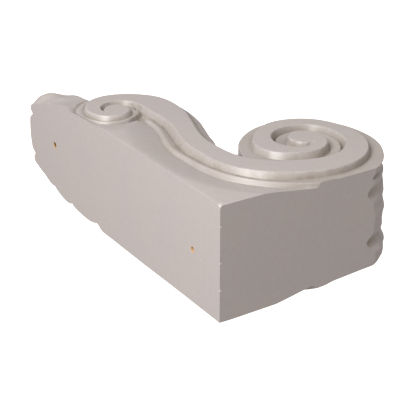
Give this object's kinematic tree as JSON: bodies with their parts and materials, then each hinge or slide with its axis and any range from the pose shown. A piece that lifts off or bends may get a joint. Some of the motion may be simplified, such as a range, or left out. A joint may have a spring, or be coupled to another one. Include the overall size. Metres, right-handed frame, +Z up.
{
  "type": "carved scroll corbel",
  "caption": "Carved wooden scroll corbel with volutes on both sides, a stepped S band and an acanthus leaf on the front, screwed to a wall under a shelf or beam.",
  "frame": {"origin": "on the flat wall face, on its centre line, at the height midway between the two screw holes", "axes": "+Z up to the shelf face, +Y into the wall, X across the block; the scroll faces -Y"},
  "size_m": [0.13, 0.255, 0.4346],
  "materials": {
    "scroll_corbel": "warm grey satin paint over carved hardwood"
  },
  "bodies": {
    "root": {"scroll_corbel": "scroll_corbel"}
  },
  "joints": []
}
